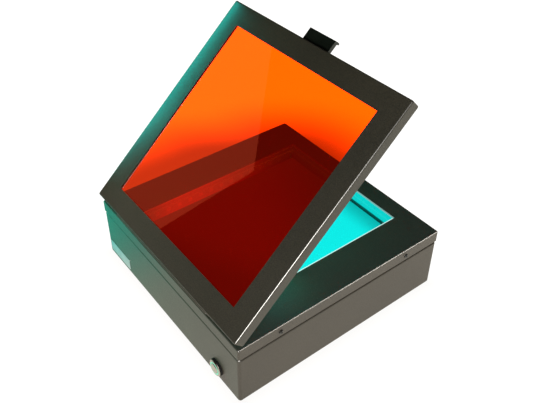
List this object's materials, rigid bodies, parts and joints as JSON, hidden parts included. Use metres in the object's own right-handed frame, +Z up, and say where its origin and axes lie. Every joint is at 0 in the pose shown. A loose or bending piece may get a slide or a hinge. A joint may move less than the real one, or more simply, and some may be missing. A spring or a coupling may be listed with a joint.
{
  "type": "blue light transilluminator",
  "caption": "Flat square sheet-steel box with a lit window on top and a hinged lid that holds an amber viewing filter.",
  "frame": {"origin": "on the table under the middle of the box, at the level of the feet's undersides", "axes": "+Z up; +Y towards the hinge and the power button; -Y towards the lid's pull tab"},
  "size_m": [0.3032, 0.3041, 0.3156],
  "materials": {
    "coat": "dark warm-grey powder coat, fine texture",
    "coat_lid": "near-black powder coat with a fine metallic speckle",
    "rubber": "matt black rubber",
    "foam": "thin black foam tape",
    "black_screw": "black oxide steel",
    "zinc": "zinc-plated steel",
    "plate": "blank satin plate",
    "glass": "clear glass",
    "white_metal": "white-coated sheet",
    "light_panel": "lit diffusing sheet",
    "seal": "clear sealing bead that carries the light",
    "led_strip": "white strip",
    "led": "blue lamp",
    "circuit_board": "green board",
    "dark_part": "moulded parts",
    "capacitor": "sleeved can",
    "heatsink": "extruded, satin",
    "green_plastic": "terminal block",
    "steel": "brushed stainless steel",
    "light_ring": "lit translucent ring",
    "contact": "plated brass",
    "black_plastic": "moulded black",
    "red_wire": "insulated wire",
    "black_wire": "insulated wire",
    "clip": "moulded clip",
    "amber": "polished amber acrylic",
    "black_metal": "black-coated strip",
    "tab_plastic": "satin black moulding"
  },
  "bodies": {
    "box": {"base_tray": "coat", "rubber_feet": "rubber", "top_cover": "coat", "cover_screws": "black_screw", "cover_nuts": "zinc", "rating_plate": "plate", "window_glass": "glass", "window_gasket": "foam", "window_seal": "seal", "lit_tray": "white_metal", "light_panel": "light_panel", "lit_tray_studs": "zinc", "lit_tray_spacers": "zinc", "lit_tray_nuts": "zinc", "led_strip_left": "led_strip", "led_strip_right": "led_strip", "leds_left": "led", "leds_right": "led", "driver_board": "circuit_board", "driver_standoffs": "zinc", "driver_screws": "zinc", "driver_coil": "dark_part", "driver_capacitors": "capacitor", "driver_chips": "dark_part", "driver_heatsink": "heatsink", "driver_terminals": "green_plastic", "switch_housing": "steel", "switch_washer": "rubber", "switch_nut": "steel", "switch_light_ring": "light_ring", "switch_terminals": "contact", "inlet_socket": "black_plastic", "inlet_pin": "zinc", "inlet_nut": "zinc", "supply_wires": "red_wire", "led_wires": "black_wire", "wire_clips": "clip", "hinge_base_leaf": "coat", "hinge_pin": "steel", "hinge_base_screws": "zinc", "hinge_base_nuts": "zinc"},
    "lid": {"lid_frame": "coat_lid", "hinge_lid_leaf": "coat", "hinge_lid_studs": "zinc", "hinge_lid_nuts": "zinc", "amber_filter": "amber", "filter_tape": "foam", "retainer_left": "black_metal", "retainer_right": "black_metal", "retainer_front": "black_metal", "retainer_rear": "black_metal", "retainer_studs": "zinc", "retainer_spacers": "zinc", "retainer_nuts": "zinc", "pull_tab": "tab_plastic", "tab_screws": "zinc", "lid_bumpers": "rubber"},
    "button": {"switch_cap": "steel"}
  },
  "joints": [
    {"name": "lid_hinge", "type": "hinge", "parent": "box", "child": "lid", "pos_m": [0, 0.1513, 0.0983], "axis": [-1, 0, 0], "range_deg": [-42.8, 52.2]},
    {"name": "power_button", "type": "slide", "parent": "box", "child": "button", "axis": [0, -1, 0], "range_m": [0, 0.0015], "stiffness_N_per_m": 1500, "springref_m": -0.0005}
  ]
}
